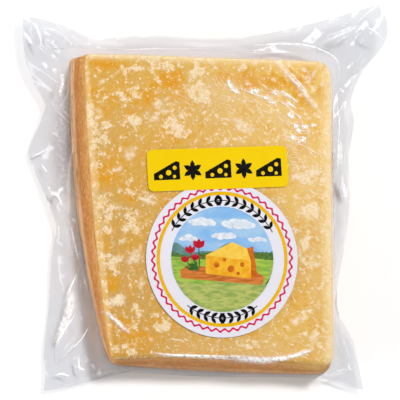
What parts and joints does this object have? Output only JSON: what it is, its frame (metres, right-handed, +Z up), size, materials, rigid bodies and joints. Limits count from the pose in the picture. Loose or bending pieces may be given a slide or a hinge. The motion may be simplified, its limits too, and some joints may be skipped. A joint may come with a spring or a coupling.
{
  "type": "parmesan chunk",
  "caption": "Flat chunk of hard yellow cheese sealed in a clear vacuum bag with crumpled margins, lying flat, with a round sticker and a plain yellow one on its face.",
  "frame": {"origin": "under the middle of the pack, on the surface it rests on", "axes": "+Z up out of the stickered face, +Y from the round sticker towards the plain one, +X to the right as the face is looked at"},
  "size_m": [0.1449, 0.1518, 0.0257],
  "materials": {
    "film": "clear glossy vacuum film, creased and pleated",
    "cheese": "aged hard cheese, golden with pale grains, moist under its film",
    "round_label_paper": "white coated paper sticker with a printed scene",
    "name_label_paper": "bright yellow coated paper sticker",
    "crimson_ink": "crimson print, a wavy ring",
    "gold_ink": "gold-yellow print, a plain ring",
    "black_ink": "black print, simple ornaments",
    "picture_ink": "coloured print, a plain landscape of sky and fields"
  },
  "bodies": {
    "root": {"bag": "film", "round_label": "round_label_paper", "name_label": "name_label_paper"}
  },
  "joints": []
}
